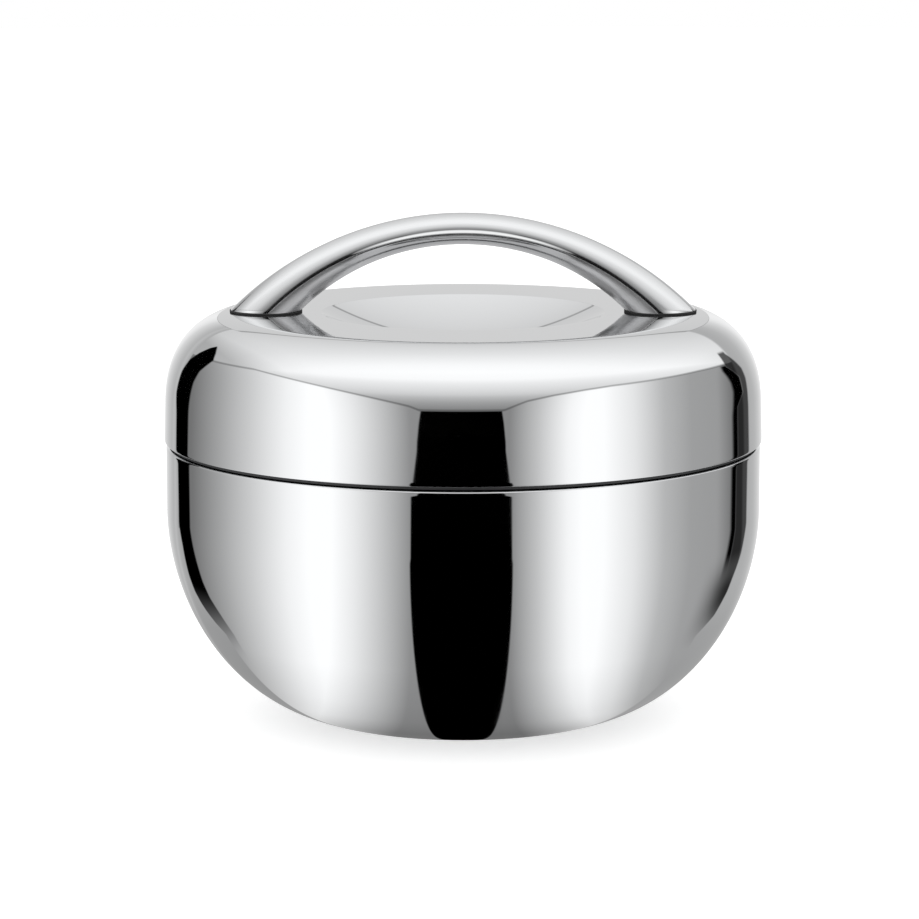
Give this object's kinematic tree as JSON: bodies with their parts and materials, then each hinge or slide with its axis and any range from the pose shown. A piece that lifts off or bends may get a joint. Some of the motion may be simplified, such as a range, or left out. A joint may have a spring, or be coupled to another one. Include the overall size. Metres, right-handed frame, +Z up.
{
  "type": "insulated lunch box",
  "caption": "Round double-walled steel lunch box with a domed bayonet lid, a dished top and a hollow arched carrying handle.",
  "frame": {"origin": "centre of the standing ring, on the surface that the box stands on", "axes": "+Z up along the axis of the bowl and lid; the handle's arch runs along X and stands in the XZ plane"},
  "size_m": [0.148, 0.148, 0.1249],
  "materials": {
    "polished_stainless": "mirror polished stainless steel",
    "satin_stainless": "satin stainless steel",
    "plated_steel": "zinc plated steel",
    "dark_polypropylene": "moulded, fine matt",
    "pale_polypropylene": "moulded, fine matt",
    "foot_rubber": "moulded, matt",
    "silicone": "moulded, slightly translucent"
  },
  "bodies": {
    "bowl": {"bowl_outer_shell": "polished_stainless", "bowl_inner_liner": "satin_stainless", "bowl_neck_collar": "dark_polypropylene", "bowl_liner_gasket": "silicone"},
    "seal": {"lid_seal": "silicone"},
    "lid": {"lid_outer_shell": "polished_stainless", "lid_inner_liner": "satin_stainless", "lid_collar": "pale_polypropylene", "handle_upper_shell": "polished_stainless", "handle_lower_shell": "polished_stainless", "handle_foot_pad_right": "foot_rubber", "handle_foot_pad_left": "foot_rubber", "handle_foot_block_right": "plated_steel", "handle_foot_block_left": "plated_steel", "handle_backing_plate_right": "satin_stainless", "handle_backing_plate_left": "satin_stainless", "handle_lock_washer_right": "plated_steel", "handle_lock_washer_left": "plated_steel", "handle_screw_right": "plated_steel", "handle_screw_left": "plated_steel"}
  },
  "joints": [
    {"name": "lid_lift", "type": "slide", "parent": "bowl", "child": "seal", "axis": [0, 0, 1], "range_m": [0, 0.06]},
    {"name": "lid_turn", "type": "hinge", "parent": "seal", "child": "lid", "pos_m": [0, 0, 0.08], "axis": [0, 0, -1], "range_deg": [0, 36]}
  ]
}
